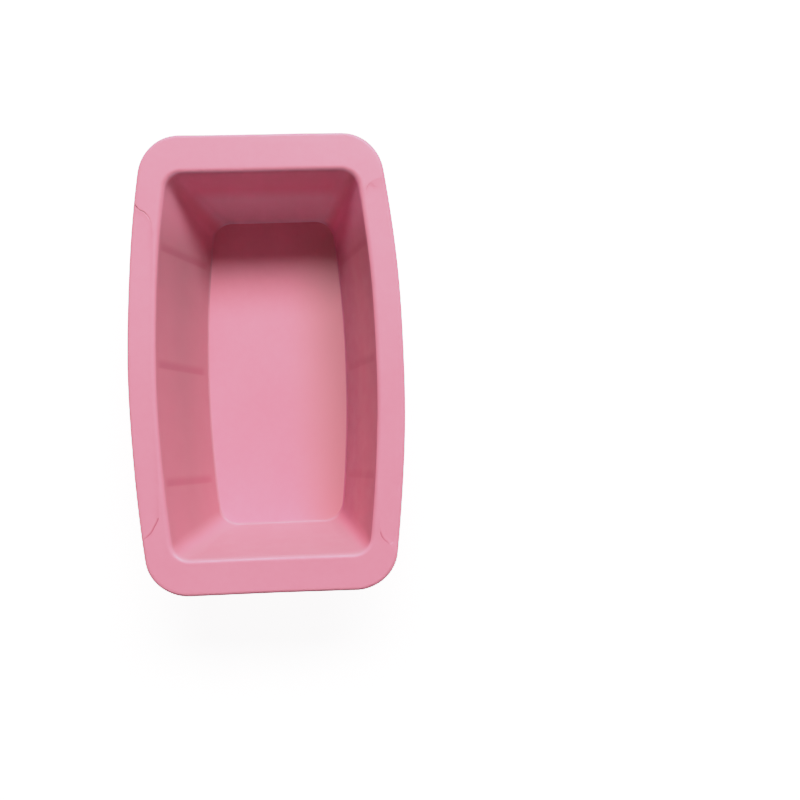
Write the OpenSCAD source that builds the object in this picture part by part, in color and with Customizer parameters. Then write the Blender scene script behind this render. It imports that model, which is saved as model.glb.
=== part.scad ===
// Soap loaf mould: a drafted loaf cavity with bowed long sides, a wide flat rim with a thicker edge,
// six gusset ribs under the long sides and two very shallow grip panels in the top of the rim.
// The mould stands on z = 0, centred on the origin, with its length along Y.

/* [Rim] */
// Height from the resting surface to the top of the rim
mould_height = 65; // [55:1:75]
// Length of the rim
rim_length = 250; // [240:1:260]
// Width of the rim at the middle of its length
rim_width_middle = 148.6; // [146:0.2:154]
// Width of the rim on the line of its ends, before the corners are rounded
rim_width_end = 128; // [126:0.5:132]
// Radius of the rim's corners
rim_corner_radius = 23; // [18:1:26]
// Thickness of the flat rim
rim_thickness = 3; // [2.5:0.5:4]
// Radius of the rounded top edge all round the rim
rim_edge_radius = 1.8; // [1:0.2:2.4]
// Width of the bead that thickens the rim's edge
bead_width = 2.6; // [2.4:0.2:3.6]
// Depth of the bead below the underside of the rim
bead_drop = 2; // [1:0.5:3]
// Radius of the bead's two lower edges
bead_edge_radius = 0.8; // [0.4:0.1:1]

/* [Cavity] */
// Length of the mouth where the end walls would meet the top of the rim
mouth_length = 209.2; // [204:0.2:212]
// Width of the mouth at the middle, where the long walls would meet the top of the rim
mouth_width_middle = 119; // [116:0.5:121]
// Width of the mouth on the line of its ends
mouth_width_end = 103.8; // [101:0.2:105]
// Radius of the mouth's corners
mouth_corner_radius = 10; // [9:0.2:13]
// Radius of the rounded lip between the walls and the top of the rim
lip_radius = 3; // [2:0.5:3.5]
// Length of the cavity's floor
floor_length = 184.8; // [181:0.2:189]
// Width of the floor at the middle
floor_width_middle = 84; // [82:0.2:88]
// Width of the floor on the line of its ends
floor_width_end = 72.4; // [70:0.2:76]
// Radius of the floor's corners
floor_corner_radius = 12; // [9:0.2:13]
// Thickness of the floor
floor_thickness = 2.5; // [2:0.1:3.5]
// Thickness of the walls
wall_thickness = 1.8; // [1.4:0.1:2.4]
// Radius of the rounded foot between the walls and the resting surface
foot_radius = 4.5; // [3:0.5:5]

/* [Ribs] */
// Distance from the middle of the mould to the outer ribs
rib_spacing = 64; // [50:1:70]
// Thickness of a rib
rib_thickness = 3; // [2:0.5:4]
// How far a rib's flat foot stands out from the wall at the resting surface
rib_foot = 3; // [2:0.5:4]

/* [Grip panels] */
// Distance from the centre line to the inner edge of a panel, where the mouth leaves room
panel_edge = 60; // [58:0.5:62]
// Radius of a panel's inner corners
panel_corner_radius = 10; // [4:1:14]
// Depth of a panel below the top of the rim
panel_depth = 0.4; // [0.2:0.1:0.8]
// Thickness of the panel's own solid
panel_thickness = 0.6; // [0.4:0.1:1]
// Front and back end of the left panel
left_panel_ends = [-94, 89];
// Front and back end of the right panel
right_panel_ends = [-105, 98];

/* [Marks] */
// Distance between the raised marks
mark_pitch = 14; // [12:1:16]
// Outer size of a mark
mark_size = 10.5; // [6:0.5:11]
// Width of a mark's line
mark_line = 0.8; // [0.5:0.1:1.2]
// Height of a mark
mark_height = 0.3; // [0.2:0.1:0.6]
// Distance from the middle of the mould to the row of marks
mark_row = 114.6; // [112:0.2:116]

/* [Hidden] */
LEFT = -1;
RIGHT = 1;
FRONT = -rib_spacing;
BACK = rib_spacing;
pink = [0.88, 0.6, 0.68];
light_pink = [0.9, 0.66, 0.73];
corner_steps = 10;
arc_steps = 5;
between_ribs = 3;
underside = mould_height - rim_thickness;
side_draft = atan((mouth_width_middle - floor_width_middle) / 2 / (mould_height - floor_thickness));
end_draft = atan((mouth_length - floor_length) / 2 / (mould_height - floor_thickness));

// An outline is [half width at the middle, half width on the end line, half length, corner radius].
// Its long sides are bowed arcs, its ends are straight, and its corner arcs meet both smoothly.
rim_outline = [rim_width_middle / 2, rim_width_end / 2, rim_length / 2, rim_corner_radius];
mouth_outline = [mouth_width_middle / 2, mouth_width_end / 2, mouth_length / 2, mouth_corner_radius];
floor_outline = [floor_width_middle / 2, floor_width_end / 2, floor_length / 2, floor_corner_radius];

function grow(outline, side, end) = outline + [side, side, end, (side + end) / 2];
function bow_radius(o) = ((o[0] - o[1]) ^ 2 + o[2] ^ 2) / (2 * (o[0] - o[1]));
function bow_x(o, y) = o[0] - bow_radius(o) + sqrt(bow_radius(o) ^ 2 - y ^ 2);
function corner_y(o) = o[2] - o[3];
function corner_x(o) = o[0] - bow_radius(o) + sqrt((bow_radius(o) - o[3]) ^ 2 - corner_y(o) ^ 2);
function corner_start(o) = asin(corner_y(o) / (bow_radius(o) - o[3]));

// Points of one long side lie on rows that every outline shares, so ribs meet the walls exactly.
function split(from, to, count) = [for (i = [1:count]) from + (to - from) * i / (count + 1)];
rib_half = rib_thickness / 2;
back_rows = concat(
    [rib_half],
    split(rib_half, BACK - rib_half, between_ribs),
    [BACK - rib_half, BACK + rib_half]
);
function last_row(o) = (BACK + rib_half + corner_y(o)) / 2;
function quarter(o) = concat(
    [for (y = concat(back_rows, [last_row(o)])) [bow_x(o, y), y]],
    [for (i = [0:corner_steps])
        let (a = corner_start(o) + (90 - corner_start(o)) * i / corner_steps)
            [corner_x(o) + o[3] * cos(a), corner_y(o) + o[3] * sin(a)]]
);
function backwards(list) = [for (i = [len(list) - 1:-1:0]) list[i]];
function flipped(list, sx, sy) = [for (p = list) [p[0] * sx, p[1] * sy]];
function outline_points(o) = concat(
    quarter(o),
    backwards(flipped(quarter(o), -1, 1)),
    flipped(quarter(o), -1, -1),
    backwards(flipped(quarter(o), 1, -1))
);
function at_height(points, z) = [for (p = points) [p[0], p[1], z]];

// Walls: the cavity's outline at a height, and the rounded lip and foot as offsets from it.
function wall_outline(z) =
    floor_outline + (mouth_outline - floor_outline)
        * (z - floor_thickness) / (mould_height - floor_thickness);
function lip_run(draft) = lip_radius * tan((90 - draft) / 2);
function lip_offset(z, draft) =
    let (above = z - mould_height + lip_radius)
        above <= lip_radius * sin(draft) ? 0
        : lip_run(draft) - sqrt(lip_radius ^ 2 - above ^ 2) - (z - mould_height) * tan(draft);
function foot_offset(z, draft) =
    z >= foot_radius * (1 - sin(draft)) ? 0
    : foot_radius * (tan(draft) - 1 / cos(draft))
        + sqrt(foot_radius ^ 2 - (foot_radius - z) ^ 2) - z * tan(draft);
function inner_outline(z) = grow(wall_outline(z), lip_offset(z, side_draft), lip_offset(z, end_draft));
function outer_outline(z) = grow(
    wall_outline(z),
    wall_thickness / cos(side_draft) + foot_offset(z, side_draft),
    wall_thickness / cos(end_draft) + foot_offset(z, end_draft)
);
collar_outline = grow(mouth_outline, lip_run(side_draft), lip_run(end_draft));
bead_inner_outline = grow(rim_outline, -bead_width, -bead_width);
lip_heights = [for (i = [arc_steps:-1:1])
    mould_height - lip_radius * (1 - cos((90 - end_draft) * i / arc_steps))];
foot_heights = [for (i = [arc_steps:-1:1]) foot_radius * (1 - cos((90 - end_draft) * i / arc_steps))];

// Faces between neighbouring rings of points. Closing the loop makes a ring-shaped solid.
function strips(rings, count, loop) = [
    for (r = [0:rings - (loop ? 1 : 2)], i = [0:count - 1])
        let (
            a = r * count + i,
            b = r * count + (i + 1) % count,
            c = (r + 1) % rings * count + i,
            d = (r + 1) % rings * count + (i + 1) % count
        )
            each [[a, b, d], [a, d, c]]
];
function joined(lists) = [for (list = lists) each list];

module loop_solid(rings) {
    polyhedron(points = joined(rings), faces = strips(len(rings), len(rings[0]), true));
}

module stacked_solid(rings) {
    count = len(rings[0]);
    top = [for (i = [0:count - 1]) (len(rings) - 1) * count + i];
    bottom = [for (i = [count - 1:-1:0]) i];
    polyhedron(
        points = joined(rings),
        faces = concat(strips(len(rings), count, false), [top, bottom])
    );
}

module floor_panel() {
    color(pink)
        stacked_solid([
            at_height(outline_points(wall_outline(floor_thickness)), floor_thickness),
            at_height(outline_points(outer_outline(0)), 0)
        ]);
}

module side_walls() {
    color(pink)
        loop_solid(concat(
            [at_height(outline_points(wall_outline(floor_thickness)), floor_thickness)],
            [for (z = lip_heights) at_height(outline_points(inner_outline(z)), z)],
            [at_height(outline_points(collar_outline), mould_height)],
            [at_height(outline_points(collar_outline), underside)],
            [at_height(outline_points(outer_outline(underside)), underside)],
            [for (z = foot_heights) at_height(outline_points(outer_outline(z)), z)],
            [at_height(outline_points(outer_outline(0)), 0)]
        ));
}

module rim_flange() {
    color(pink)
        difference() {
            translate([0, 0, underside])
                linear_extrude(rim_thickness)
                    flange_shape();
            panel_block(LEFT, left_panel_ends, panel_depth + panel_thickness);
            panel_block(RIGHT, right_panel_ends, panel_depth + panel_thickness);
        }
}

module flange_shape() {
    difference() {
        polygon(outline_points(bead_inner_outline));
        polygon(outline_points(collar_outline));
    }
}

// The bead's section is a list of [offset from the rim's edge, height].
function bead_arc(x, z, radius, from) = [
    for (i = [0:arc_steps])
        let (a = from + 90 * i / arc_steps)
            [x + radius * cos(a), z + radius * sin(a)]
];
bead_bottom = underside - bead_drop;
bead_section = concat(
    [[-bead_width, mould_height]],
    backwards(bead_arc(-rim_edge_radius, mould_height - rim_edge_radius, rim_edge_radius, 0)),
    backwards(bead_arc(-bead_edge_radius, bead_bottom + bead_edge_radius, bead_edge_radius, 270)),
    backwards(bead_arc(bead_edge_radius - bead_width, bead_bottom + bead_edge_radius,
        bead_edge_radius, 180))
);

module rim_bead() {
    color(pink)
        difference() {
            loop_solid([for (p = bead_section)
                at_height(outline_points(grow(rim_outline, p[0], p[0])), p[1])]);
            panel_block(LEFT, left_panel_ends, panel_depth);
            panel_block(RIGHT, right_panel_ends, panel_depth);
        }
}

// One face of a rib on the row y: down the wall and round its foot, then back up the free edge.
function rib_face(y) = concat(
    [for (z = concat([underside], foot_heights)) [bow_x(outer_outline(z), y), y, z]],
    [
        [bow_x(outer_outline(foot_heights[arc_steps - 1]), y), y, 0],
        [bow_x(grow(wall_outline(0), wall_thickness + rib_foot, 0), y), y, 0],
        [bow_x(bead_inner_outline, y), y, underside]
    ]
);

// Triangles of that face, fanned from its foot's outer point, which sees the whole of it.
function rib_fan(count) =
    let (foot = count - 2)
        [for (i = [0:count - 1]) if (i != foot && i != foot - 1) [foot, i, (i + 1) % count]];

module rib(side, row) {
    front = rib_face(row - rib_half);
    back = rib_face(row + rib_half);
    count = len(front);
    fan = rib_fan(count);
    color(light_pink)
        mirror([side == LEFT ? 1 : 0, 0, 0])
            polyhedron(
                points = concat(front, back),
                faces = concat(
                    strips(2, count, false),
                    [for (t = fan) backwards(t)],
                    [for (t = fan) t + [count, count, count]]
                )
            );
}

module rib_left_front() { rib(LEFT, FRONT); }
module rib_left_middle() { rib(LEFT, 0); }
module rib_left_back() { rib(LEFT, BACK); }
module rib_right_front() { rib(RIGHT, FRONT); }
module rib_right_middle() { rib(RIGHT, 0); }
module rib_right_back() { rib(RIGHT, BACK); }

// A panel's area: its two inner corners are rounded, and its outer side runs past the rim's edge.
function panel_corner(y, from) = [
    for (i = [0:corner_steps])
        let (a = from + 90 * i / corner_steps)
            [panel_edge + panel_corner_radius * (1 + cos(a)), y + panel_corner_radius * sin(a)]
];

module panel_shape(side, ends) {
    mirror([side == LEFT ? 1 : 0, 0])
        polygon(concat(
            [[rim_width_middle, ends[1]]],
            panel_corner(ends[1] - panel_corner_radius, 90),
            panel_corner(ends[0] + panel_corner_radius, 180),
            [[rim_width_middle, ends[0]]]
        ));
}

module panel_block(side, ends, depth) {
    translate([0, 0, mould_height - depth])
        linear_extrude(2 * depth)
            panel_shape(side, ends);
}

module grip_panel(side, ends) {
    color(light_pink)
        translate([0, 0, mould_height - panel_depth - panel_thickness])
            linear_extrude(panel_thickness)
                intersection() {
                    panel_shape(side, ends);
                    flange_shape();
                }
}

module grip_panel_left() { grip_panel(LEFT, left_panel_ends); }
module grip_panel_right() { grip_panel(RIGHT, right_panel_ends); }

// A mark is a plain closed line: many-sided for a ring, four-sided for a frame.
function mark_points(size, sides) = [
    for (i = [0:sides - 1])
        let (a = 360 * (i + 0.5) / sides)
            size / 2 / cos(180 / sides) * [cos(a), sin(a)]
];

module mark(place, size, sides) {
    translate([place * mark_pitch, mark_row, underside - mark_height])
        linear_extrude(mark_height)
            difference() {
                polygon(mark_points(size, sides));
                polygon(mark_points(size - 2 * mark_line, sides));
            }
}

module care_marks() {
    color(light_pink) {
        mark(2, mark_size, 32);
        mark(2, mark_size / 2, 32);
        mark(1, mark_size * 0.8, 32);
        mark(0, mark_size * 0.8, 32);
        mark(-1, mark_size * 0.8, 4);
        mark(-2, mark_size, 4);
        mark(-2, mark_size / 2, 4);
    }
}

floor_panel();  // floor
side_walls();
rim_flange();
rim_bead();
rib_left_front();
rib_left_middle();
rib_left_back();
rib_right_front();
rib_right_middle();
rib_right_back();
grip_panel_left();
grip_panel_right();
care_marks();
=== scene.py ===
"""Soap loaf mould in soft pink silicone.

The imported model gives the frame: its size, its floor, its ribs and its grip panels. Every piece here stands
for one CAD node and carries the moulding's small forms: the rounded lip and foot, fillets where walls meet
the rim, the bead's rolled edge, the shallow grip panels with their crease at each end and the flared ribs.
Sizes are in millimetres until a mesh is made, and the frame is the CAD frame: z = 0 is the resting surface.
"""

import math

import bpy
import numpy as np
from mathutils import Matrix, Vector
from mathutils.geometry import delaunay_2d_cdt


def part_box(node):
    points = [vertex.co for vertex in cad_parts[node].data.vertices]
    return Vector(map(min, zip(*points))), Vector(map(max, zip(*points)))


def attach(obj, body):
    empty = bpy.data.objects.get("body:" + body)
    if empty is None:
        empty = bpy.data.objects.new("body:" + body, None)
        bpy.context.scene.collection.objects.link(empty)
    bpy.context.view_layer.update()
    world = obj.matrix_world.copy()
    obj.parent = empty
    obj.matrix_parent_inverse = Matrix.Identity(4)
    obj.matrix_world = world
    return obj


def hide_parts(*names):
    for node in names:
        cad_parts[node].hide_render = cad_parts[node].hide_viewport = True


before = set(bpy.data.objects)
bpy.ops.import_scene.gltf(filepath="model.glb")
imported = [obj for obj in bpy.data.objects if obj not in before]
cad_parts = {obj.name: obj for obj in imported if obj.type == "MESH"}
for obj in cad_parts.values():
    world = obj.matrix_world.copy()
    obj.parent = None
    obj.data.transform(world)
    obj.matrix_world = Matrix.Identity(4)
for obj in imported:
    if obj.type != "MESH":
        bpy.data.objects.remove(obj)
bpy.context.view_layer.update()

MM = 1000.0
SIDES = ("left", "right")


def box_mm(node):
    low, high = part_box(node)
    return np.array(low) * MM, np.array(high) * MM


# ---- Sizes that the frame gives, in millimetres
RIM_LOW, RIM_HIGH = box_mm("rim_bead")
FLANGE_LOW, FLANGE_HIGH = box_mm("rim_flange")
TOP = RIM_HIGH[2]
UNDERSIDE = FLANGE_LOW[2]
BEAD_BOTTOM = RIM_LOW[2]
BEAD_WIDTH = RIM_HIGH[0] - FLANGE_HIGH[0]
FLOOR_TOP = box_mm("floor")[1][2]
POCKET = box_mm("grip_panel_left")[0][2]

# ---- Outlines: half width at the middle, half width on the end line, half length, corner radius
RIM = np.array([RIM_HIGH[0], 64.0, RIM_HIGH[1], 23.0])
MOUTH = np.array([59.5, 51.9, 104.6, 10.0])
FLOOR = np.array([42.0, 36.2, 92.4, 12.0])

# ---- Section of the moulding
WALL = 1.8
LIP_RADIUS = 3.0
FOOT_RADIUS = 4.5
FLOOR_FILLET = 1.6
ROOT_FILLET = 1.2
SEAM_STRIP = 0.8
RIM_EDGE = 1.8
BEAD_EDGE = 0.8
BEAD_FLARE = 0.6
SIDE_DRAFT = math.atan((MOUTH[0] - FLOOR[0]) / (TOP - FLOOR_TOP))
END_DRAFT = math.atan((MOUTH[2] - FLOOR[2]) / (TOP - FLOOR_TOP))


# ---- Outline geometry
def grow(outline, side, end):
    return outline + np.array([side, side, end, (side + end) / 2])


def bow_radius(o):
    return ((o[0] - o[1]) ** 2 + o[2] ** 2) / (2 * (o[0] - o[1]))


def corner_centre(o):
    y = o[2] - o[3]
    return o[0] - bow_radius(o) + math.sqrt((bow_radius(o) - o[3]) ** 2 - y ** 2), y


def corner_start(o):
    return math.asin((o[2] - o[3]) / (bow_radius(o) - o[3]))


def edge_x(o, y):
    """Half width of an outline at the distance y from its middle."""
    y = np.abs(np.asarray(y, float))
    radius = bow_radius(o)
    centre_x, centre_y = corner_centre(o)
    bow = o[0] - radius + np.sqrt(radius ** 2 - y ** 2)
    corner = centre_x + np.sqrt(np.maximum(o[3] ** 2 - (y - centre_y) ** 2, 0))
    return np.where(y > centre_y + o[3] * math.sin(corner_start(o)), corner, bow)


ROWS = np.arange(0.0, 77.0, 2.0)
SPARE_ROWS = 4
CORNER_STEPS = 18
END_STEPS = 14
QUARTERS = ("right_back", "left_back", "left_front", "right_front")


def quarter(o, rows):
    """One quarter of an outline, from the middle of the right side round to the middle of the back end."""
    centre_x, centre_y = corner_centre(o)
    reached = math.asin(min(max((rows[-1] - centre_y) / o[3], -1), 1))
    start = max(corner_start(o), reached)
    if rows[-1] < centre_y:
        tangent = centre_y + o[3] * math.sin(start)
        rows = np.append(rows, np.linspace(rows[-1], tangent, SPARE_ROWS + 2)[1:-1])
    side = np.column_stack([edge_x(o, rows), rows])
    angle = np.linspace(start, math.pi / 2, CORNER_STEPS + 1)
    if reached >= corner_start(o):
        angle = angle[1:]
    corner = np.column_stack([centre_x + o[3] * np.cos(angle), centre_y + o[3] * np.sin(angle)])
    x = np.linspace(centre_x, 0, END_STEPS + 1)[1:]
    end = np.column_stack([x, np.full(len(x), o[2])])
    return np.vstack([side, corner, end])


def loop(o, rows=None):
    """The closed outline, anticlockwise from the right. rows gives each quarter its own rows if need be."""
    rows = rows or {}
    quarters = [quarter(o, rows.get(q, ROWS)) for q in QUARTERS]
    return np.vstack([
        quarters[0][:-1],
        quarters[1][::-1][:-1] * (-1, 1),
        quarters[2][:-1] * (-1, -1),
        quarters[3][::-1][:-1] * (1, -1),
    ])


def ring(outline, z, rows=None):
    points = loop(outline, rows)
    return np.column_stack([points, np.full(len(points), z)])


# ---- Wall section: each offset is measured outwards from the drafted inner face
def wall_outline(z):
    return FLOOR + (MOUTH - FLOOR) * (z - FLOOR_TOP) / (TOP - FLOOR_TOP)


def arc_offset(height, draft, radius):
    """Offset of a rounding between a drafted wall and a flat, at a height above that flat."""
    if height >= radius * (1 - math.sin(draft)):
        return 0.0
    round_x = math.sqrt(radius ** 2 - (radius - height) ** 2)
    return radius * (math.tan(draft) - 1 / math.cos(draft)) + round_x - height * math.tan(draft)


def lip_run(draft):
    return LIP_RADIUS * math.tan((math.pi / 2 - draft) / 2)


def lip_offset(z, draft):
    above = z - TOP + LIP_RADIUS
    if above <= LIP_RADIUS * math.sin(draft):
        return 0.0
    return lip_run(draft) - math.sqrt(LIP_RADIUS ** 2 - above ** 2) - (z - TOP) * math.tan(draft)


def inner_outline(z):
    side = lip_offset(z, SIDE_DRAFT) + arc_offset(z - FLOOR_TOP, SIDE_DRAFT, FLOOR_FILLET)
    end = lip_offset(z, END_DRAFT) + arc_offset(z - FLOOR_TOP, END_DRAFT, FLOOR_FILLET)
    return grow(wall_outline(z), side, end)


def outer_outline(z):
    def offset(draft):
        foot = arc_offset(z, draft, FOOT_RADIUS)
        root = arc_offset(UNDERSIDE - z, draft, ROOT_FILLET)
        return WALL / math.cos(draft) + foot - root
    return grow(wall_outline(z), offset(SIDE_DRAFT), offset(END_DRAFT))


def round_heights(flat, radius, steps, direction):
    """Heights along a rounding, from its tangent point on the wall to the flat."""
    angles = np.linspace(math.pi / 2 - END_DRAFT, 0, steps + 1)
    return [flat + direction * radius * (1 - math.cos(a)) for a in angles]


COLLAR = grow(MOUTH, lip_run(SIDE_DRAFT) + SEAM_STRIP, lip_run(END_DRAFT) + SEAM_STRIP)
FLOOR_SEAM = grow(inner_outline(FLOOR_TOP), -SEAM_STRIP, -SEAM_STRIP)
FOOT_SEAM = grow(outer_outline(0.0), -SEAM_STRIP, -SEAM_STRIP)
BEAD_INNER = grow(RIM, -BEAD_WIDTH, -BEAD_WIDTH)


# ---- The soft moulding settles a little, and stays inside its own box: a slow waviness, two opposite
# ---- corners pulled in, and both end walls leaning forwards under the rim
SETTLE_SIDE = 0.25
SETTLE_END = 0.2
SETTLE_CORNERS = 1.0
SETTLE_FORWARDS = 0.85
SETTLE_DOWN = 0.3


def settle(points):
    """Where the points of the moulding lie once it has settled. The waves' lengths are in millimetres."""
    x, y, z = points.T
    up = z / TOP
    side_wave = 0.5 + 0.5 * np.sin(y / 17.0 + 0.8 * np.sin(y / 41.0) + 1.1 * x / RIM[0])
    end_wave = 0.5 + 0.5 * np.sin(x / 15.0 + 2.0 + 0.7 * y / RIM[2])
    pulled = 0.5 + 0.5 * (x / RIM[0]) * (y / RIM[2])
    leaning = np.interp(np.abs(y), [0, MOUTH[2] + LIP_RADIUS, BEAD_INNER[2]], [0, 1, 0])
    down_wave = 0.5 + 0.25 * np.sin(y / 21.0 + x / 60.0) + 0.25 * np.sin(x / 24.0 - y / 55.0 + 1.0)
    shorter = (SETTLE_END * end_wave + SETTLE_CORNERS * pulled) / RIM[2]
    return np.column_stack([
        x * (1 - SETTLE_SIDE / RIM[0] * side_wave * up),
        y * (1 - shorter * up) - SETTLE_FORWARDS * leaning * up,
        z - SETTLE_DOWN * down_wave * up,
    ])


# ---- Meshes
SHARP_ANGLE = math.radians(38)


def strips(rings, count, closed):
    faces = []
    for r in range(rings if closed else rings - 1):
        low, high = r * count, (r + 1) % rings * count
        for i in range(count):
            j = (i + 1) % count
            faces.append((low + i, low + j, high + j, high + i))
    return faces


def stacked(rings):
    """All rings' points in one list. Strips between rings only fit if every ring has as many points."""
    if len({len(line) for line in rings}) > 1:
        raise ValueError("rings differ in their number of points")
    return np.vstack(rings)


def piece(name, points, faces, node, material, crease_shade=None):
    """A closed mesh in metres that rides on the mould's body and stands for a CAD node."""
    mesh = bpy.data.meshes.new(name)
    mesh.from_pydata((settle(np.asarray(points, float)) / MM).tolist(), [], faces)
    if mesh.validate():
        raise ValueError(name + " has faces that don't fit its points")
    if signed_volume(mesh) < 0:
        mesh.flip_normals()
    mesh.polygons.foreach_set("use_smooth", [True] * len(mesh.polygons))
    mesh.set_sharp_from_angle(angle=SHARP_ANGLE)
    # The attribute carries painted shade for the creases, read by the material
    if crease_shade is not None:
        mesh.attributes.new("crease_shade", "FLOAT", "POINT").data.foreach_set("value", crease_shade)
    mesh.materials.append(material)
    made = bpy.data.objects.new(name, mesh)
    bpy.context.scene.collection.objects.link(made)
    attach(made, "root")
    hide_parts(node)
    return made


def signed_volume(mesh):
    mesh.calc_loop_triangles()
    corners = np.array([v.co for v in mesh.vertices])
    tri = np.array([t.vertices for t in mesh.loop_triangles])
    a, b, c = corners[tri[:, 0]], corners[tri[:, 1]], corners[tri[:, 2]]
    return float(np.einsum("ij,ij->i", a, np.cross(b, c)).sum())


# ---- Grip panels. Each end is a curve of (outwards from the panel's inner line, past the panel's end,
# ---- strength of its crease), from the inner line to beyond the rim.
PANEL_LINE = {"left": 59.3, "right": 58.0}
PANEL_CORNERS = {
    "left_back": [(0, -20, 0), (0, -15, 0.15), (0.1, -12.2, 0.35), (0.9, -9.2, 0.6), (2.4, -6.7, 0.65),
                  (4.2, -4.7, 0.65), (6.4, -3.7, 0.6), (7.6, -2.6, 0.75), (8.8, -1.1, 0.9),
                  (11.5, 2.2, 0.9)],
    "left_front": [(0, -20, 0), (0, -12, 0.1), (0.1, -9.9, 1), (1.9, -6.4, 1), (3.7, -3.2, 0.95),
                   (5.3, -1.6, 0.85), (6.8, -0.4, 0.7), (8.1, 0.8, 0.5), (11.5, 3.8, 0.3)],
    "right_front": [(0, -19.4, 0), (0, -15.5, 0), (-0.1, -12.4, 0.05), (-0.2, -10.2, 0.3),
                    (-0.1, -8.6, 0.75), (0.5, -6.9, 0.8), (1.7, -5.1, 0.75), (3.5, -3.5, 0.6),
                    (5, -1.7, 0.15), (7, 0.6, 0), (12, 4, 0)],
    "right_back": [(-3.4, -9, 0), (-2.9, -6, 0.1), (-1.8, -4.4, 0.3), (-1.4, -3.8, 0.35), (0.1, -1.1, 0.3),
                   (2, 1, 0.03), (5, 2.4, 0), (14, 3, 0)],
}
CURVE_STEPS = 14
PANEL_DEPTH = 0.4
RAMP = 1.1
FADED_RAMP = 4.0
CREASE_DEPTH = 0.5
CREASE_WIDTH = 0.42
CREASE_SPREAD = 0.6
BORDER_STEPS = 60
FADE_RUN = 3
FADE_STRENGTH = 0.3


def panel_ends(side):
    """Where the CAD panel starts and stops along the mould."""
    low, high = box_mm("grip_panel_" + side)
    return low[1], high[1]


def smooth_curve(points):
    """A curve through every control point, with evenly turning stretches between them."""
    p = np.array(points, float)
    p = np.vstack([2 * p[0] - p[1], p, 2 * p[-1] - p[-2]])
    t = np.linspace(0, 1, CURVE_STEPS, endpoint=False)[:, None]
    out = []
    for a, b, c, d in zip(p, p[1:], p[2:], p[3:]):
        out.append(0.5 * (2 * b + (c - a) * t + (2 * a - 5 * b + 4 * c - d) * t ** 2
                          + (3 * b - a - 3 * c + d) * t ** 3))
    return np.vstack(out + [p[-2:-1]])


def panel_border(side):
    """The panel's edge, front to back, as (x, y, crease strength, how far its step has faded)."""
    front, back = panel_ends(side)
    sign = -1 if side == "left" else 1
    ends = []
    for name, end, direction in (("front", front, -1), ("back", back, 1)):
        curve = smooth_curve(PANEL_CORNERS[side + "_" + name])
        x = sign * (PANEL_LINE[side] + curve[:, 0])
        strength = np.clip(curve[:, 2], 0, 1)
        faded = np.clip(curve[:, 0] / FADE_RUN, 0, 1) * np.clip(1 - strength / FADE_STRENGTH, 0, 1)
        ends.append(np.column_stack([x, end + direction * curve[:, 1], strength, faded]))
    front_curve, back_curve = ends[0][::-1], ends[1]
    middle = np.linspace(front_curve[-1], back_curve[0], BORDER_STEPS)[1:-1]
    return np.vstack([front_curve, middle, back_curve])


BORDERS = {side: panel_border(side) for side in SIDES}


def inside(polygon, points):
    """Which points lie inside a closed polygon."""
    x, y = points[:, 0], points[:, 1]
    hit = np.zeros(len(points), bool)
    for (x0, y0), (x1, y1) in zip(polygon, np.roll(polygon, -1, axis=0)):
        if y0 != y1:
            crosses = (y0 > y) != (y1 > y)
            hit ^= crosses & (x < (x1 - x0) * (y - y0) / (y1 - y0) + x0)
    return hit


def border_distance(border, points):
    """Distance to a border, and its crease strength and fading at the nearest point."""
    best = np.full(len(points), 1e9)
    look = np.zeros((len(points), 2))
    for a, b in zip(border, border[1:]):
        along = b[:2] - a[:2]
        t = np.clip(((points - a[:2]) @ along) / max(along @ along, 1e-9), 0, 1)
        gap = np.hypot(*(points - a[:2] - t[:, None] * along).T)
        nearer = gap < best
        best = np.where(nearer, gap, best)
        look[nearer] = a[2:] + (b[2:] - a[2:]) * t[nearer, None]
    return best, look[:, 0], look[:, 1]


def panel_polygon(side):
    """The panel's area, run out past the edge of the rim."""
    far = (2 if side == "right" else -2) * RIM[0]
    border = BORDERS[side][:, :2]
    return np.vstack([[(far, border[0, 1])], border, [(far, border[-1, 1])]])


def panel_form(side, points):
    """How far a panel sinks at each point, and how strong its crease is there."""
    points = np.asarray(points, float)
    gap, strength, faded = border_distance(BORDERS[side], points)
    sink = PANEL_DEPTH * (1 - np.exp(-gap / (RAMP + FADED_RAMP * faded)))
    groove = strength * np.exp(-(gap / (CREASE_WIDTH * (CREASE_SPREAD + strength))) ** 2)
    return sink, groove


def rim_form(points):
    """The same for points anywhere on the rim, which lie on a panel or on none."""
    sink, groove = np.zeros(len(points)), np.zeros(len(points))
    for side in SIDES:
        within = inside(panel_polygon(side), points)
        sink[within], groove[within] = panel_form(side, points[within])
    return sink, groove


# ---- Floor and walls
FLOOR_RINGS = (1.0, 0.97, 0.92, 0.85, 0.75, 0.62, 0.48, 0.33, 0.18, 0.07)
FILLET_STEPS = 7
LIP_STEPS = 14
ROOT_STEPS = 6
FOOT_STEPS = 12
INNER_STEPS = 30
OUTER_STEPS = 22
LIP_FADE = 0.7


def make_floor(material):
    top = ring(FLOOR_SEAM, FLOOR_TOP)
    bottom = ring(FOOT_SEAM, 0.0)
    rings = [top * (s, s, 1) for s in reversed(FLOOR_RINGS)]
    rings += [bottom * (s, s, 1) for s in FLOOR_RINGS]
    count = len(top)
    points = np.vstack([stacked(rings), [(0, 0, FLOOR_TOP)], [(0, 0, 0)]])
    faces = strips(len(rings), count, False)
    top_hub = len(rings) * count
    bottom_hub = top_hub + 1
    last = (len(rings) - 1) * count
    for i in range(count):
        j = (i + 1) % count
        faces.append((top_hub, j, i))
        faces.append((bottom_hub, last + i, last + j))
    return piece("silicone_floor", points, faces, "floor", material)


def lowered_lip(line, z):
    """Lowers the rounded lip where a grip panel runs right up to the mouth."""
    sink, _ = rim_form(line[:, :2])
    line[:, 2] -= sink * max(0.0, 1 - (TOP - z) / LIP_RADIUS) ** LIP_FADE
    return line


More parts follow.
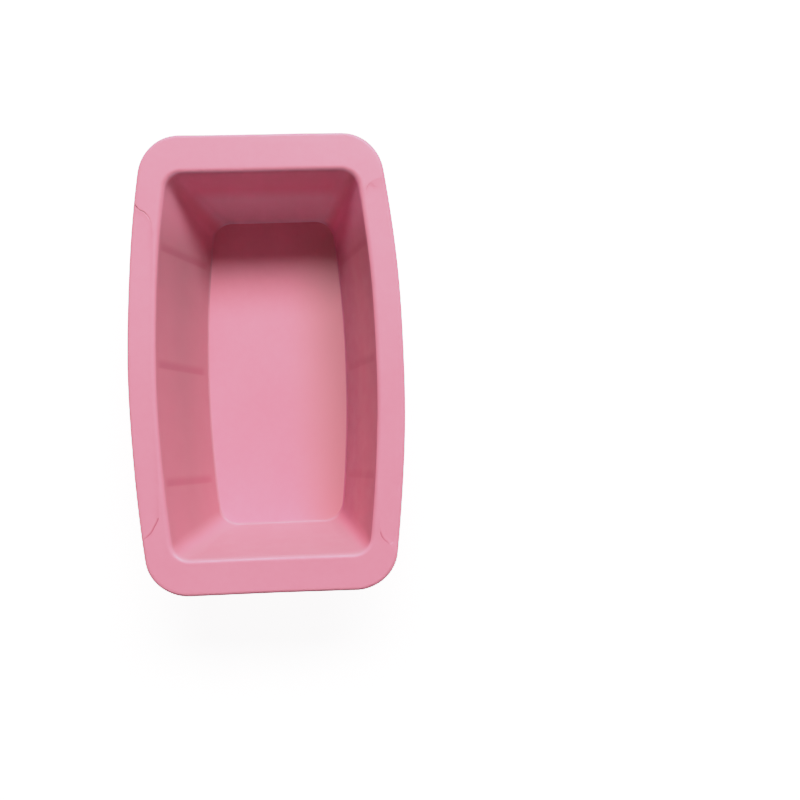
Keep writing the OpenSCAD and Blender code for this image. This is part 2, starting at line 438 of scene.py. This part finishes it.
def make_walls(material):
    fillet = round_heights(FLOOR_TOP, FLOOR_FILLET, FILLET_STEPS, 1)
    lip = round_heights(TOP, LIP_RADIUS, LIP_STEPS, -1)
    root = round_heights(UNDERSIDE, ROOT_FILLET, ROOT_STEPS, -1)
    foot = round_heights(0.0, FOOT_RADIUS, FOOT_STEPS, 1)
    inner_face = np.linspace(fillet[0], lip[0], INNER_STEPS)[1:-1]
    outer_face = np.linspace(root[0], foot[0], OUTER_STEPS)[1:-1]
    rings = [ring(FLOOR_SEAM, FLOOR_TOP)]
    rings += [ring(inner_outline(z), z) for z in [*reversed(fillet), *inner_face]]
    rings += [lowered_lip(ring(inner_outline(z), z), z) for z in lip]
    rings += [lowered_lip(ring(COLLAR, TOP), TOP), ring(COLLAR, UNDERSIDE)]
    rings += [ring(outer_outline(z), z) for z in [*reversed(root), *outer_face, *foot]]
    rings += [ring(FOOT_SEAM, 0.0)]
    faces = strips(len(rings), len(rings[0]), True)
    return piece("silicone_walls", stacked(rings), faces, "side_walls", material)


# ---- Rows of the rim's edge: fine where a crease runs out over the bead
FINE_ROW = 0.22
COARSE_ROW = 2
LAST_ROW = 106


def crease_rows(side, end):
    border = BORDERS[side]
    curve = border[border[:, 1] * (1 if end == "back" else -1) > 0]
    across = np.abs(curve[:, 0]) - edge_x(BEAD_INNER, np.clip(np.abs(curve[:, 1]), 0, BEAD_INNER[2]))
    near = np.abs(curve[(across > -1) & (across < BEAD_WIDTH + 1), 1])
    low, high = near.min() - 1, near.max() + 1
    fine = np.arange(low, high, FINE_ROW)
    last = max(high + 1, LAST_ROW)
    coarse = np.arange(0, last + 0.5, COARSE_ROW)
    coarse = coarse[(coarse < low - 0.5) | (coarse > high + 0.5)]
    return np.sort(np.concatenate([coarse, fine]))


RIM_ROWS = {side + "_" + end: crease_rows(side, end) for side in SIDES for end in ("front", "back")}


# ---- Flat areas of the rim, cut along curves
FLANGE_SPACING = 6.0
PANEL_SPACING = 3.0
SPOT_SHIFT = (0.37, 0.61)
SPOT_CLEAR = 2
NO_AREA = 1e-9
SAME_LEVEL = 1e-6


def triangulated(loops, spots):
    """Triangles over a flat area that keep every given line. A loop is (points, closed)."""
    points, edges = [], []
    for line, closed in loops:
        first = len(points)
        points += [Vector(p) for p in line]
        edges += [(first + i, first + i + 1) for i in range(len(line) - 1)]
        if closed:
            edges.append((first + len(line) - 1, first))
    points += [Vector(p) for p in spots]
    found = delaunay_2d_cdt(points, edges, [], 0, 1e-4)
    return np.array([tuple(p) for p in found[0]]), np.array(found[2])


def anticlockwise(points, triangles):
    a, b, c = (points[triangles[:, i]] for i in range(3))
    area = np.cross(b - a, c - a)
    triangles = triangles[np.abs(area) > NO_AREA]
    area = area[np.abs(area) > NO_AREA]
    return np.where(area[:, None] > 0, triangles, triangles[:, ::-1])


def rim_spots(spacing):
    """Points spread over the rim's flat, clear of its edges."""
    x, y = np.meshgrid(np.arange(-RIM[0], RIM[0], spacing), np.arange(-RIM[2], RIM[2], spacing))
    spots = np.column_stack([x.ravel() + SPOT_SHIFT[0], y.ravel() + SPOT_SHIFT[1]])
    within = inside(loop(grow(BEAD_INNER, -SPOT_CLEAR, -SPOT_CLEAR)), spots)
    return spots[within & ~inside(loop(grow(COLLAR, SPOT_CLEAR, SPOT_CLEAR)), spots)]


def flange_lines():
    return [(loop(BEAD_INNER, RIM_ROWS), True), (loop(COLLAR), True)]


def on_flange(points):
    return inside(loop(BEAD_INNER, RIM_ROWS), points) & ~inside(loop(COLLAR), points)


def levelled_solid(points, triangles, top, bottom, middle=None):
    """Closes triangles into a solid that stands on the level bottom.

    top gives the heights of a triangle's corners, and middle is the lower of two levels that tops may have.
    """
    made, index, faces = [], {}, []

    def at(vertex, z):
        key = (vertex, round(float(z), 6))
        if key not in index:
            index[key] = len(made)
            made.append((*points[vertex], float(z)))
        return index[key]

    beside = {}
    for t, tri in enumerate(triangles):
        heights = top(t, tri)
        faces.append([at(v, z) for v, z in zip(tri, heights)])
        faces.append([at(v, bottom) for v in tri[::-1]])
        for i in range(3):
            a, b = tri[i], tri[(i + 1) % 3]
            beside[(a, b)] = (heights[i], heights[(i + 1) % 3])
    for (a, b), (za, zb) in beside.items():
        other = beside.get((b, a))
        if other is None:
            levels = [bottom] if middle is None else [bottom, middle]
            lines = [(z, z) for z in levels if z < za - SAME_LEVEL] + [(za, zb)]
        elif za > other[1] + SAME_LEVEL:
            lines = [(other[1], other[0]), (za, zb)]
        else:
            continue
        for (a0, b0), (a1, b1) in zip(lines, lines[1:]):
            faces.append([at(a, a0), at(b, b0), at(b, b1), at(a, a1)])
    return np.array(made), faces


def make_flange(material):
    lines = flange_lines() + [(BORDERS[s][:, :2], False) for s in SIDES]
    points, triangles = triangulated(lines, rim_spots(FLANGE_SPACING))
    triangles = anticlockwise(points, triangles)
    centres = points[triangles].mean(axis=1)
    keep = on_flange(centres)
    triangles, centres = triangles[keep], centres[keep]
    pocket = inside(panel_polygon("left"), centres) | inside(panel_polygon("right"), centres)

    def top(t, tri):
        return [POCKET if pocket[t] else TOP] * 3

    made, faces = levelled_solid(points, triangles, top, UNDERSIDE, POCKET)
    return piece("silicone_rim", made, faces, "rim_flange", material)


BORDER_OFFSETS = (0.08, 0.18, 0.32, 0.5, 0.8, 1.2, 1.7, 2.3, 3.0)


def border_spots(side):
    """Rows of points beside a panel's border, so that its ramp and its crease have real form."""
    border = BORDERS[side][:, :2]
    along = np.gradient(border, axis=0)
    along /= np.hypot(*along.T)[:, None]
    inwards = np.column_stack([along[:, 1], -along[:, 0]]) * (1 if side == "right" else -1)
    return np.vstack([border + inwards * gap for gap in BORDER_OFFSETS])


def make_panel(side, material):
    lines = flange_lines() + [(BORDERS[side][:, :2], False)]
    spots = np.vstack([rim_spots(PANEL_SPACING), border_spots(side)])
    clear = on_flange(spots) & inside(panel_polygon(side), spots)
    points, triangles = triangulated(lines, spots[clear])
    triangles = anticlockwise(points, triangles)
    centres = points[triangles].mean(axis=1)
    triangles = triangles[on_flange(centres) & inside(panel_polygon(side), centres)]
    sink, groove = panel_form(side, points)
    heights = TOP - sink - CREASE_DEPTH * groove

    def top(t, tri):
        return heights[tri]

    made, faces = levelled_solid(points, triangles, top, POCKET)
    # How dark the painted shade in the crease is at each corner of the solid
    _, dark = panel_form(side, made[:, :2])
    name = "silicone_grip_" + side
    return piece(name, made, faces, "grip_panel_" + side, material, crease_shade=dark)


def section_arc(x, z, radius, start, end, steps):
    angle = np.radians(np.linspace(start, end, steps + 1))
    return [(x + radius * math.cos(a), z + radius * math.sin(a), math.cos(a), math.sin(a)) for a in angle]


def bead_section():
    """The bead's section, clockwise from its top inner edge: offset, height and outward direction."""
    section = [(-BEAD_WIDTH, TOP, 0, 1), (-BEAD_WIDTH + 0.4, TOP, 0, 1)]
    section += section_arc(-RIM_EDGE, TOP - RIM_EDGE, RIM_EDGE, 90, 0, 10)
    section += section_arc(-BEAD_EDGE, BEAD_BOTTOM + BEAD_EDGE, BEAD_EDGE, 0, -90, 6)
    section += section_arc(BEAD_EDGE - BEAD_WIDTH, BEAD_BOTTOM + BEAD_EDGE, BEAD_EDGE, -90, -180, 6)
    flare = section_arc(-BEAD_WIDTH - BEAD_FLARE, UNDERSIDE - BEAD_FLARE, BEAD_FLARE, 0, 90, 5)
    return section + flare + [(-BEAD_WIDTH, UNDERSIDE, 0, 0)]


def make_bead(material):
    rings, darkness = [], []
    for offset, z, out, up in bead_section():
        line = ring(grow(RIM, offset, offset), z, RIM_ROWS)
        sink, groove = rim_form(line[:, :2])
        upper = z > TOP - RIM_EDGE - SAME_LEVEL
        along = np.roll(line, -1, axis=0) - np.roll(line, 1, axis=0)
        away = np.column_stack([along[:, 1], -along[:, 0]])
        away /= np.hypot(*away.T)[:, None]
        push = CREASE_DEPTH * groove * upper
        line[:, 2] -= sink * max(up, 0) * upper + push * up
        line[:, :2] -= away * (push * out * up)[:, None]
        rings.append(line)
        # The darkness is painted shade in the crease, on the bead's upper faces only
        darkness.append(groove * upper * up)
    faces = strips(len(rings), len(rings[0]), True)
    crease_shade = np.concatenate(darkness)
    return piece("silicone_bead", stacked(rings), faces, "rim_bead", material, crease_shade=crease_shade)


# ---- Ribs
RIB_FREE_EDGE = 0.5
RIB_CROWN = 0.05
RIB_FLARE = 1.1
RIB_SUNK = 0.4
RIB_FOOT = 3.0
RIB_CLEAR = 0.02
RIB_ROUND = 0.35
RIB_STEPS = 18


def fillet_growth(distance, radius):
    """How much a concave fillet thickens a rib at a distance from the face it stands on."""
    d = np.clip(distance, 0, radius)
    return radius - np.sqrt(radius ** 2 - (radius - d) ** 2)


def rib_section(half, flare, x_in, x_out):
    """Half of a rib's level section: (x, y) from inside the wall out to the middle of its free edge."""
    gaps = np.linspace(0, 1, 7) ** 1.6 * RIB_FLARE
    points = [(x_in, half + flare + fillet_growth(0, RIB_FLARE))]
    points += [(x_in + RIB_SUNK + g, half + flare + fillet_growth(g, RIB_FLARE)) for g in gaps]
    start = x_in + RIB_SUNK + RIB_FLARE
    stop = max(x_out - RIB_FREE_EDGE, start + 0.2)
    points += [(x, half + flare) for x in np.linspace(start, stop, 8)[1:-1]]
    for angle in np.radians(np.linspace(0, 90, 6)):
        inset = RIB_FREE_EDGE * (1 - math.cos(angle))
        points.append((stop + RIB_FREE_EDGE * math.sin(angle), half + flare - inset))
    points.append((stop + RIB_FREE_EDGE + RIB_CROWN, (half + flare) * 0.4))
    return points


def make_rib(side, place, material):
    node = "rib_" + side + "_" + place
    low, high = box_mm(node)
    row, half = (low[1] + high[1]) / 2, (high[1] - low[1]) / 2
    sign = -1 if side == "left" else 1
    foot_x = edge_x(grow(wall_outline(0.0), WALL + RIB_FOOT, 0), row)
    head_x = edge_x(BEAD_INNER, row)
    foot = [FOOT_RADIUS * (1 - math.cos(a)) for a in np.linspace(0, math.pi / 2 - END_DRAFT, 9)]
    top = [UNDERSIDE - RIB_FLARE * t for t in (1, 0.75, 0.5, 0.3, 0.15, 0.05, 0)]
    shaft = np.linspace(foot[-1], top[0], RIB_STEPS)[1:-1]
    heights = [RIB_CLEAR, 0.12, RIB_ROUND, *foot[3:], *shaft, *top, UNDERSIDE + RIB_SUNK]
    rings = []
    for z in heights:
        level = min(z, UNDERSIDE)
        x_in = edge_x(outer_outline(level), row) - RIB_SUNK
        x_out = foot_x + (head_x - foot_x) * level / UNDERSIDE
        flare = fillet_growth(UNDERSIDE - level, RIB_FLARE)
        bottom = math.sqrt(max(1 - (1 - min(level / RIB_ROUND, 1)) ** 2, 0)) * RIB_ROUND - RIB_ROUND
        section = rib_section(half + bottom, flare, x_in, x_out + flare * 0.6 + bottom)
        points = section + [(x, -y) for x, y in reversed(section)]
        rings.append(np.array([(sign * x, row + y, z) for x, y in points]))
    count = len(rings[0])
    faces = strips(len(rings), count, False)
    last = (len(rings) - 1) * count
    for i in range(count // 2 - 1):
        j = count - 1 - i
        faces.append((i, j, j - 1, i + 1))
        faces.append((last + i, last + i + 1, last + j - 1, last + j))
    return piece("silicone_" + node, stacked(rings), faces, node, material)


# ---- Care marks: plain rings and frames, as low half-round ridges under the rim
MARK_PITCH = 14.0
MARK_SIZE = 10.5
MARK_LINE = 0.8
MARK_HEIGHT = 0.3
MARK_SUNK = 0.1
MARK_TURNS = 64
MARK_STEPS = 9
FRAME_POWER = 0.32
# Each mark is its place in the row, its size as a share of MARK_SIZE, and its kind
MARKS = [(2, 1.0, "ring"), (2, 0.5, "ring"), (1, 0.8, "ring"), (0, 0.8, "ring"), (-1, 0.8, "frame"),
         (-2, 1.0, "frame"), (-2, 0.5, "frame")]


def mark_outline(size, kind):
    """A closed line: round for a ring, and nearly square for a frame."""
    angle = np.linspace(0, 2 * math.pi, MARK_TURNS, endpoint=False)
    power = 1.0 if kind == "ring" else FRAME_POWER
    x, y = (np.sign(v) * np.abs(v) ** power for v in (np.cos(angle), np.sin(angle)))
    return np.column_stack([x, y]) * size / 2


def make_marks(material):
    low, high = box_mm("care_marks")
    row = (low[1] + high[1]) / 2
    points, faces = [], []
    for place, scale, kind in MARKS:
        middle = mark_outline(MARK_SIZE * scale - MARK_LINE, kind)
        along = np.roll(middle, -1, axis=0) - np.roll(middle, 1, axis=0)
        away = np.column_stack([along[:, 1], -along[:, 0]])
        away /= np.hypot(*away.T)[:, None]
        rings = []
        turn = np.linspace(0, math.pi, MARK_STEPS)
        profile = [(math.cos(a) * MARK_LINE / 2, -math.sin(a) * MARK_HEIGHT) for a in turn]
        profile += [(-MARK_LINE / 2, MARK_SUNK), (MARK_LINE / 2, MARK_SUNK)]
        for across, up in profile:
            xy = middle + away * across + (place * MARK_PITCH, row)
            rings.append(np.column_stack([xy, np.full(len(xy), UNDERSIDE + up)]))
        first = sum(len(p) for p in points)
        points += rings
        faces += [tuple(first + v for v in f) for f in strips(len(rings), len(middle), True)]
    return piece("silicone_care_marks", stacked(points), faces, "care_marks", material)


# ---- Silicone
PINK = (0.92, 0.345, 0.46)
PINK_DEEP = (0.88, 0.31, 0.42)
# Painted shade that the right wall casts on the floor's top
PINK_FLOOR_RIGHT_SHADE = (0.74, 0.305, 0.36)
# Painted shade on the front end wall
PINK_FRONT_SHADE = (0.69, 0.315, 0.395)
# Painted light on the back end wall: its whole face, and a lighter glow low in its middle
PINK_BACK_LIT = ((1.0, 0.42, 0.58), (1.0, 0.65, 0.79))
# Painted shade and light on the long walls: at the foot, at the head and at the back end
PINK_LEFT_SHADE_AND_LIGHT = ((0.65, 0.29, 0.36), (0.77, 0.31, 0.40), (1.0, 0.42, 0.56))
PINK_RIGHT_SHADE_AND_LIGHT = ((0.57, 0.172, 0.27), (0.66, 0.20, 0.285), (1.0, 0.33, 0.52))
# Painted shade of the ribs, seen through the thin long walls
PINK_RIB_SHADE = (0.50, 0.08, 0.15)
# Painted shade in the creases at the grip panels' ends and along the bead
PINK_CREASE_SHADE = (0.34, 0.06, 0.10)
SPECK = (0.16, 0.05, 0.06)
DRIFT_SCALE = 14.0
DRIFT_SHOW = 0.4
MOTTLE_SCALE = 260.0
MOTTLE_SHOW = 0.22
SPECK_SCALE = 75.0
SPECK_SHARE = 0.05
SPECK_RADIUS = 0.035
SPECK_SHOW = 0.55
CREASE_SHADE_SHOW = 0.7
RIB_SHADE_SHOW = 0.3
ROUGHEST = 0.50
SMOOTHEST = 0.40
PEEL_SCALE = 420.0
PEEL_DEPTH = 0.0003
SWELL_SCALE = 38.0
SWELL_DEPTH = 0.0006

# ---- Where the painted light and shade come in and go out, in metres on the mould
RIB_FRONT = (-0.0028, -0.0012)
RIB_BACK = (0.0042, 0.0)
RIB_ABOVE = (0.004, 0.012)
RIB_BELOW = (0.0635, 0.058)
WALL_BACK_END = (0.062, 0.090)
LEFT_RISE = (0.030, 0.060)
RIGHT_RISE = (0.012, 0.045)
# The strip and floor-face limits place the painted floor shade beside the right wall
STRIP_ACROSS = (0.002, 0.038)
STRIP_ALONG = (0.095, 0.078)
FLOOR_FACE_ABOVE = (0.0012, 0.002)
FLOOR_FACE_BELOW = (0.004, 0.003)
LIT_ACROSS = (0.050, 0.028)
LIT_BELOW = (0.046, 0.030)
HALVES = (-0.02, 0.02)
# A face of the cavity points back at the mould's middle. The others are shares of its level direction.
FACES_INWARDS = (0.0, -0.02)
FACES_ACROSS = (0.35, 0.75)
FACES_ALONG = (0.65, 0.25)


class Shader:
    """A node tree that is built by short calls, each of which returns an output socket."""

    def __init__(self, tree):
        self.tree = tree

    def node(self, kind, output=0, inputs=(), **settings):
        made = self.tree.nodes.new(kind)
        for key, value in settings.items():
            setattr(made, key, value)
        for key, value in dict(inputs).items():
            if isinstance(value, bpy.types.NodeSocket):
                self.tree.links.new(value, made.inputs[key])
            else:
                made.inputs[key].default_value = value
        return made.outputs[output]

    def math(self, operation, a, b=0.0, clamp=False):
        return self.node("ShaderNodeMath", inputs={0: a, 1: b}, operation=operation, use_clamp=clamp)

    def between(self, value, low, high, out_low=0.0, out_high=1.0):
        ends = {"Value": value, "From Min": low, "From Max": high, "To Min": out_low, "To Max": out_high}
        return self.node("ShaderNodeMapRange", inputs=ends, interpolation_type="SMOOTHSTEP")

    def noise(self, place, scale, detail=2.0):
        inputs = {"Vector": place, "Scale": scale, "Detail": detail}
        return self.node("ShaderNodeTexNoise", inputs=inputs)

    def mix(self, amount, a, b):
        made = self.tree.nodes.new("ShaderNodeMix")
        made.data_type = "RGBA"
        for key, value in (("Factor_Float", amount), ("A_Color", a), ("B_Color", b)):
            socket = next(i for i in made.inputs if i.identifier == key)
            if isinstance(value, bpy.types.NodeSocket):
                self.tree.links.new(value, socket)
            else:
                socket.default_value = (*value, 1.0) if isinstance(value, tuple) else value
        return next(o for o in made.outputs if o.identifier == "Result_Color")


def specks(shader, place, scale, share, radius):
    """Small round specks: a share of the cells at this scale hold one, with this radius in cells."""
    def cell(output):
        inputs = {"Vector": place, "Scale": scale}
        return shader.node("ShaderNodeTexVoronoi", output, inputs, feature="F1")
    picked = shader.node("ShaderNodeSeparateColor", 0, {"Color": cell("Color")})
    chosen = shader.math("LESS_THAN", picked, share)
    dot = shader.between(cell("Distance"), radius, radius * 0.5)
    return shader.math("MULTIPLY", chosen, dot)


def parts_of(shader, place):
    return {a: shader.node("ShaderNodeSeparateXYZ", a, {"Vector": place}) for a in ("X", "Y", "Z")}


def product(shader, *factors):
    total = factors[0]
    for factor in factors[1:]:
        total = shader.math("MULTIPLY", total, factor)
    return total


def rib_shade_bands(shader, at):
    """Painted shade: soft bands on the long walls where the ribs stand behind them and shade the light
    through the thin silicone, with a sharper edge to the front.

    The right ribs stand in the same rows as the left ones.
    """
    total = 0.0
    for rib in ("rib_left_front", "rib_left_middle", "rib_left_back"):
        low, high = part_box(rib)
        past = shader.math("SUBTRACT", at["Y"], (low[1] + high[1]) / 2)
        band = product(shader, shader.between(past, *RIB_FRONT), shader.between(past, *RIB_BACK))
        total = shader.math("ADD", total, band)
    level = product(shader, shader.between(at["Z"], *RIB_ABOVE), shader.between(at["Z"], *RIB_BELOW))
    return product(shader, total, level)


def long_wall_shade_and_light(shader, at, colours, rise):
    """Painted shade and light on a long wall: deeper shade towards its foot, and lighter at its back end."""
    foot, head, back = colours
    colour = shader.mix(shader.between(at["Z"], *rise), foot, head)
    return shader.mix(shader.between(at["Y"], *WALL_BACK_END), colour, back)


def painted_floor_shade(shader, place, colour):
    """Painted shade of the right wall on the floor's top: a deeper strip beside that wall, clear of the back
    wall's shadow.
    """
    at = parts_of(shader, place)
    strip = product(shader, shader.between(at["X"], *STRIP_ACROSS), shader.between(at["Y"], *STRIP_ALONG))
    above, below = (shader.between(at["Z"], *level) for level in (FLOOR_FACE_ABOVE, FLOOR_FACE_BELOW))
    level = product(shader, above, below)
    return shader.mix(shader.math("MULTIPLY", strip, level), colour, PINK_FLOOR_RIGHT_SHADE)


def painted_wall_light_and_shade(shader, place, colour):
    """Painted light and shade on the cavity's faces: light through the thin silicone, each wall lighter or
    darker by how the light falls on it, and the ribs' shade behind.
    """
    at = parts_of(shader, place)
    normal = shader.node("ShaderNodeNewGeometry", "Normal")
    facing = parts_of(shader, normal)
    outwards = shader.node("ShaderNodeVectorMath", "Value", {0: normal, 1: place}, operation="DOT_PRODUCT")
    inner = shader.between(outwards, *FACES_INWARDS)
    across, along = (shader.math("ABSOLUTE", facing[a]) for a in ("X", "Y"))
    sideways = shader.math("DIVIDE", across, shader.math("ADD", across, along))
    side = product(shader, inner, shader.between(sideways, *FACES_ACROSS))
    end = product(shader, inner, shader.between(sideways, *FACES_ALONG))
    left = long_wall_shade_and_light(shader, at, PINK_LEFT_SHADE_AND_LIGHT, LEFT_RISE)
    right = long_wall_shade_and_light(shader, at, PINK_RIGHT_SHADE_AND_LIGHT, RIGHT_RISE)
    middle = shader.between(shader.math("ABSOLUTE", at["X"]), *LIT_ACROSS)
    lit = product(shader, middle, shader.between(at["Z"], *LIT_BELOW))
    back = shader.mix(lit, *PINK_BACK_LIT)
    colour = painted_floor_shade(shader, place, colour)
    colour = shader.mix(end, colour, shader.mix(shader.between(at["Y"], *HALVES), PINK_FRONT_SHADE, back))
    colour = shader.mix(side, colour, shader.mix(shader.between(at["X"], *HALVES), left, right))
    return shader.mix(product(shader, rib_shade_bands(shader, at), side, RIB_SHADE_SHOW), colour, PINK_RIB_SHADE)


def make_silicone(name, paint=None, crease_shaded=False):
    """Soft matte silicone: a slow drift of colour, fine mottling, a few specks and a faint orange peel. A
    paint adds painted light and shade, and the crease option adds painted shade in the creases.
    """
    material = bpy.data.materials.new(name)
    material.use_nodes = True
    shader = Shader(material.node_tree)
    bsdf = next(n for n in material.node_tree.nodes if n.type == "BSDF_PRINCIPLED")
    place = shader.node("ShaderNodeTexCoord", "Object")
    drift = shader.between(shader.noise(place, DRIFT_SCALE), 0.32, 0.68)
    mottle = shader.between(shader.noise(place, MOTTLE_SCALE, 4.0), 0.3, 0.7)
    drift = shader.math("MULTIPLY", drift, DRIFT_SHOW)
    mottle = shader.math("MULTIPLY", mottle, MOTTLE_SHOW)
    blend = shader.math("ADD", drift, mottle)
    colour = shader.mix(blend, PINK, PINK_DEEP)
    dark = specks(shader, place, SPECK_SCALE, SPECK_SHARE, SPECK_RADIUS)
    colour = shader.mix(shader.math("MULTIPLY", dark, SPECK_SHOW), colour, SPECK)
    if paint:
        colour = paint(shader, place, colour)
    # Painted shade in the creases, read from the mesh's crease attribute
    if crease_shaded:
        crease_shade = shader.node("ShaderNodeAttribute", "Fac", attribute_name="crease_shade")
        colour = shader.mix(shader.math("MULTIPLY", crease_shade, CREASE_SHADE_SHOW), colour, PINK_CREASE_SHADE)
    material.node_tree.links.new(colour, bsdf.inputs["Base Color"])
    rough = shader.between(shader.noise(place, 90.0, 3.0), 0.3, 0.7, SMOOTHEST, ROUGHEST)
    material.node_tree.links.new(rough, bsdf.inputs["Roughness"])
    peel = shader.node("ShaderNodeBump", "Normal", {
        "Height": shader.noise(place, PEEL_SCALE, 3.0), "Strength": 0.12, "Distance": PEEL_DEPTH})
    swell = shader.node("ShaderNodeBump", "Normal", {
        "Height": shader.noise(place, SWELL_SCALE, 1.0), "Strength": 0.25, "Distance": SWELL_DEPTH,
        "Normal": peel})
    material.node_tree.links.new(swell, bsdf.inputs["Normal"])
    bsdf.inputs["IOR"].default_value = 1.43
    bsdf.inputs["Specular IOR Level"].default_value = 0.5
    bsdf.inputs["Sheen Weight"].default_value = 0.06
    bsdf.inputs["Sheen Roughness"].default_value = 0.5
    return material


# ---- Camera, floor and light, in metres
CAMERA_AT = Vector((0.0501, -0.0517, 0.533))
CAMERA_AIM = Vector((0.0739, -0.0204, 0.0))
CAMERA_UP = Vector((0.0381, 0.9993, 0.0))
CAMERA_LENS = 39.13
SENSOR_WIDTH = 36.0
STAGE_RADIUS = 8.0
STAGE_RINGS = (0.0005, 0.4, 1.5, STAGE_RADIUS)
STAGE_TURNS = 64
FLOOR_DROP = -0.0001
FLOOR_GLOW = 1.9
FLOOR_TONE = 0.75
BOUNCE_GLOW = 0.35
BOUNCE_TONE = 0.5
WHITE = (1, 1, 1)
WINDOW_HEIGHT = 4.6
WINDOW_SLOPE = (0.2, 0.86)
WINDOW_SPREAD = (0.6, 0.33)
WINDOW_POWER = 555.0
AIR_COLOUR = (1, 0.73, 0.76)
AIR_GLOW = 0.33
AIR_BASE = 0.115
FILM_WHITE = 2.5
FILM_CURVE = ((0, 0), (0.6, 0.6), (0.8, 0.73), (0.95, 0.78), (1.25, 0.805), (1.8, 0.92), (FILM_WHITE, 1))


def make_camera():
    data = bpy.data.cameras.new("camera")
    data.lens = CAMERA_LENS
    data.sensor_width = SENSOR_WIDTH
    data.clip_start = 0.01
    data.clip_end = 50.0
    camera = bpy.data.objects.new("camera", data)
    back = (CAMERA_AT - CAMERA_AIM).normalized()
    right = CAMERA_UP.cross(back).normalized()
    up = back.cross(right)
    camera.matrix_world = Matrix.Translation(CAMERA_AT) @ Matrix((right, up, back)).transposed().to_4x4()
    bpy.context.scene.collection.objects.link(camera)
    bpy.context.scene.camera = camera


def emitter(name, colour, strength, base=0.0):
    material = bpy.data.materials.new(name)
    material.use_nodes = True
    bsdf = next(n for n in material.node_tree.nodes if n.type == "BSDF_PRINCIPLED")
    bsdf.inputs["Base Color"].default_value = (base, base, base, 1)
    bsdf.inputs["Roughness"].default_value = 0.9
    bsdf.inputs["Specular IOR Level"].default_value = 0.1
    bsdf.inputs["Emission Color"].default_value = (*colour, 1)
    bsdf.inputs["Emission Strength"].default_value = strength
    return material


def turned(name, profile, material):
    """A surface turned round the upright axis from (radius, height) points."""
    angles = [2 * math.pi * i / STAGE_TURNS for i in range(STAGE_TURNS)]
    points = [(r * math.cos(a), r * math.sin(a), h) for r, h in profile for a in angles]
    mesh = bpy.data.meshes.new(name)
    mesh.from_pydata(points, [], strips(len(profile), STAGE_TURNS, False))
    mesh.polygons.foreach_set("use_smooth", [True] * len(mesh.polygons))
    mesh.materials.append(material)
    made = bpy.data.objects.new(name, mesh)
    bpy.context.scene.collection.objects.link(made)
    return made


def hide_from_light(stage, camera=True):
    """Leaves a stage piece to the camera alone, or to the light alone."""
    stage.visible_camera = camera
    stage.visible_diffuse = not camera
    stage.visible_glossy = not camera
    stage.visible_transmission = False
    stage.visible_shadow = False


def make_stage():
    """A wide pale floor under a far backdrop. A dimmer floor, unseen, lights the mould from below."""
    flat = [(r, FLOOR_DROP) for r in STAGE_RINGS]
    floor = turned("studio_floor", flat, emitter("studio_floor", WHITE, FLOOR_GLOW, FLOOR_TONE))
    hide_from_light(floor)
    below = [(r, h + FLOOR_DROP) for r, h in flat]
    bounce = turned("studio_bounce", below, emitter("studio_bounce", WHITE, BOUNCE_GLOW, BOUNCE_TONE))
    hide_from_light(bounce, camera=False)
    rise = [math.radians(a) for a in range(0, 91, 6)]
    dome = [(max(STAGE_RADIUS * math.cos(a), 0.001), FLOOR_DROP + STAGE_RADIUS * math.sin(a)) for a in rise]
    hide_from_light(turned("studio_backdrop", dome, emitter("studio_backdrop", WHITE, FILM_WHITE)))


def make_lights():
    """A wide soft window high behind and to the right of the mould, and a dim glow around it."""
    data = bpy.data.lights.new("window_light", "AREA")
    data.shape = "ELLIPSE"
    data.size, data.size_y = 2 * WINDOW_SPREAD[0] * WINDOW_HEIGHT, 2 * WINDOW_SPREAD[1] * WINDOW_HEIGHT
    data.energy = WINDOW_POWER
    window = bpy.data.objects.new("window_light", data)
    window.location = (WINDOW_SLOPE[0] * WINDOW_HEIGHT, WINDOW_SLOPE[1] * WINDOW_HEIGHT, WINDOW_HEIGHT)
    bpy.context.scene.collection.objects.link(window)
    world = bpy.data.worlds.new("studio_air")
    world.use_nodes = True
    shader = Shader(world.node_tree)
    direction = shader.node("ShaderNodeTexCoord", "Generated")
    glow = shader.between(shader.node("ShaderNodeSeparateXYZ", "Y", {"Vector": direction}), 0.1, 0.9)
    background = next(n for n in world.node_tree.nodes if n.type == "BACKGROUND")
    strength = shader.math("ADD", shader.math("MULTIPLY", glow, AIR_GLOW), AIR_BASE)
    world.node_tree.links.new(strength, background.inputs["Strength"])
    background.inputs["Color"].default_value = (*AIR_COLOUR, 1)
    bpy.context.scene.world = world


def make_film():
    """A camera's response: straight in the shadows, with a soft shoulder above."""
    settings = bpy.context.scene.view_settings
    settings.view_transform = "Standard"
    settings.use_curve_mapping = True
    mapping = settings.curve_mapping
    mapping.white_level = (FILM_WHITE,) * 3
    curve = mapping.curves[3]
    for i, (light, shown) in enumerate(FILM_CURVE):
        place = (light / FILM_WHITE, shown)
        if i == 0:
            curve.points[0].location = place
        elif i == len(FILM_CURVE) - 1:
            curve.points[-1].location = place
        else:
            curve.points.new(*place)
    for point in curve.points[:2]:
        point.handle_type = "VECTOR"
    mapping.update()


make_camera()
make_film()
plain = make_silicone("silicone")
# The crease materials carry painted shade in the creases; the walls' and the base's carry painted light and
# shade
crease_shaded = make_silicone("silicone_crease_shaded", crease_shaded=True)
walls = make_silicone("silicone_walls", paint=painted_wall_light_and_shade)
base = make_silicone("silicone_base", paint=painted_floor_shade)
trim = make_silicone("silicone_trim", crease_shaded=True)
make_floor(base)
make_walls(walls)
make_flange(plain)
make_bead(crease_shaded)
for side in SIDES:
    make_panel(side, trim)
    for place in ("front", "middle", "back"):
        make_rib(side, place, plain)
make_marks(trim)
make_stage()
make_lights()
